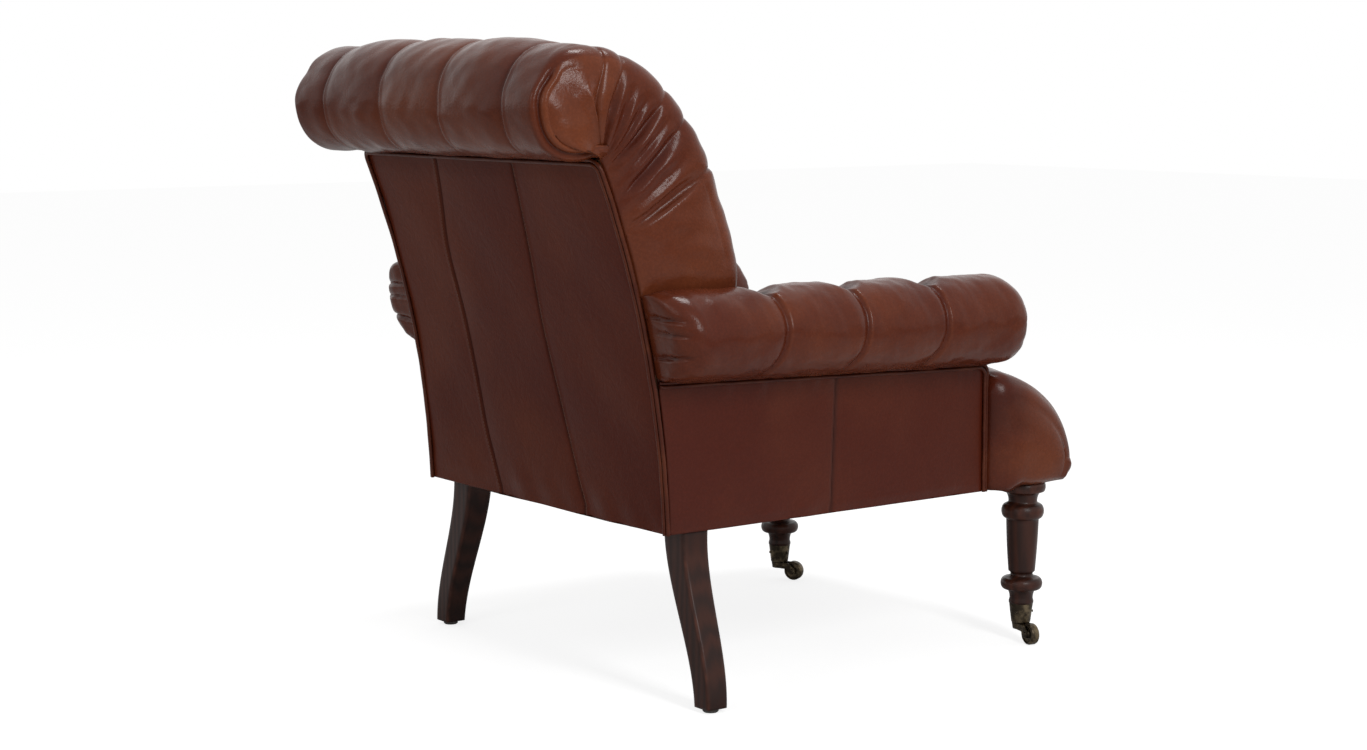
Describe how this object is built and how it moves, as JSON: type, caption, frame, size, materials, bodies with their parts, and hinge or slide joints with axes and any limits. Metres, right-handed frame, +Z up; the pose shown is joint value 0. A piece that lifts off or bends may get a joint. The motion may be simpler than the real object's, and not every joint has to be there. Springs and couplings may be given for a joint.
{
  "type": "armchair",
  "caption": "Upholstered armchair in buttoned leather with a swept back and top roll, rolled arms, a tight seat with a rounded nose, splayed rear legs and turned front legs on casters.",
  "frame": {"origin": "on the floor, in the middle of the chair's width and depth", "axes": "the chair faces -Y, +Z is up, and the sitter's right is at -X"},
  "size_m": [0.784, 0.967, 0.901],
  "materials": {
    "leather": "glossy, waxed",
    "leg_wood": "dark polished, rubbed at the edges",
    "frame_wood": "planed, unfinished",
    "antique_brass": "aged, dark",
    "steel": "drawn",
    "jute": "woven",
    "dust_cloth": "woven",
    "plate_black": "matte",
    "glide_plastic": "matte"
  },
  "bodies": {
    "chair": {"front_rail": "frame_wood", "side_rail_right": "frame_wood", "side_rail_left": "frame_wood", "rear_rail": "frame_wood", "leg_block_right": "frame_wood", "leg_block_left": "frame_wood", "corner_blocks": "frame_wood", "arm_post_right": "frame_wood", "arm_post_left": "frame_wood", "arm_rail_right": "frame_wood", "arm_rail_left": "frame_wood", "back_post_right": "frame_wood", "back_post_left": "frame_wood", "back_lower_rail": "frame_wood", "back_top_rail": "frame_wood", "scroll_rail": "frame_wood", "seat_springs": "steel", "spring_clips": "steel", "seat_deck": "jute", "back_webbing": "jute", "seat_pad": "leather", "back_pad": "leather", "arm_roll_right": "leather", "arm_roll_left": "leather", "inside_arm_right": "leather", "inside_arm_left": "leather", "outside_back": "leather", "side_panel_right": "leather", "side_panel_left": "leather", "arm_facing_right": "leather", "arm_facing_left": "leather", "back_welt": "leather", "side_welt_right": "leather", "side_welt_left": "leather", "back_buttons": "leather", "arm_buttons": "leather", "dust_cover": "dust_cloth", "rear_leg_right": "leg_wood", "rear_leg_left": "leg_wood", "leg_plates": "plate_black", "rear_glides": "glide_plastic", "front_leg_right": "leg_wood", "front_leg_left": "leg_wood", "leg_bolts": "steel", "leg_nuts": "steel", "caster_cup_right": "antique_brass", "caster_cup_left": "antique_brass", "cup_screws": "antique_brass"},
    "horn_right": {"caster_horn_right": "antique_brass", "swivel_pin_right": "antique_brass", "wheel_axle_right": "antique_brass"},
    "wheel_right": {"caster_wheel_right": "antique_brass"},
    "horn_left": {"caster_horn_left": "antique_brass", "swivel_pin_left": "antique_brass", "wheel_axle_left": "antique_brass"},
    "wheel_left": {"caster_wheel_left": "antique_brass"}
  },
  "joints": [
    {"name": "caster_swivel_right", "type": "hinge", "parent": "chair", "child": "horn_right", "pos_m": [-0.289, -0.4105, 0.0245], "axis": [0, 0, 1], "continuous": true},
    {"name": "wheel_spin_right", "type": "hinge", "parent": "horn_right", "child": "wheel_right", "pos_m": [-0.31541, -0.40489, 0.016], "axis": [-0.2079, -0.9781, 0], "continuous": true},
    {"name": "caster_swivel_left", "type": "hinge", "parent": "chair", "child": "horn_left", "pos_m": [0.289, -0.4105, 0.0245], "axis": [0, 0, 1], "continuous": true},
    {"name": "wheel_spin_left", "type": "hinge", "parent": "horn_left", "child": "wheel_left", "pos_m": [0.26494, -0.42276, 0.016], "axis": [0.454, -0.891, 0], "continuous": true}
  ]
}
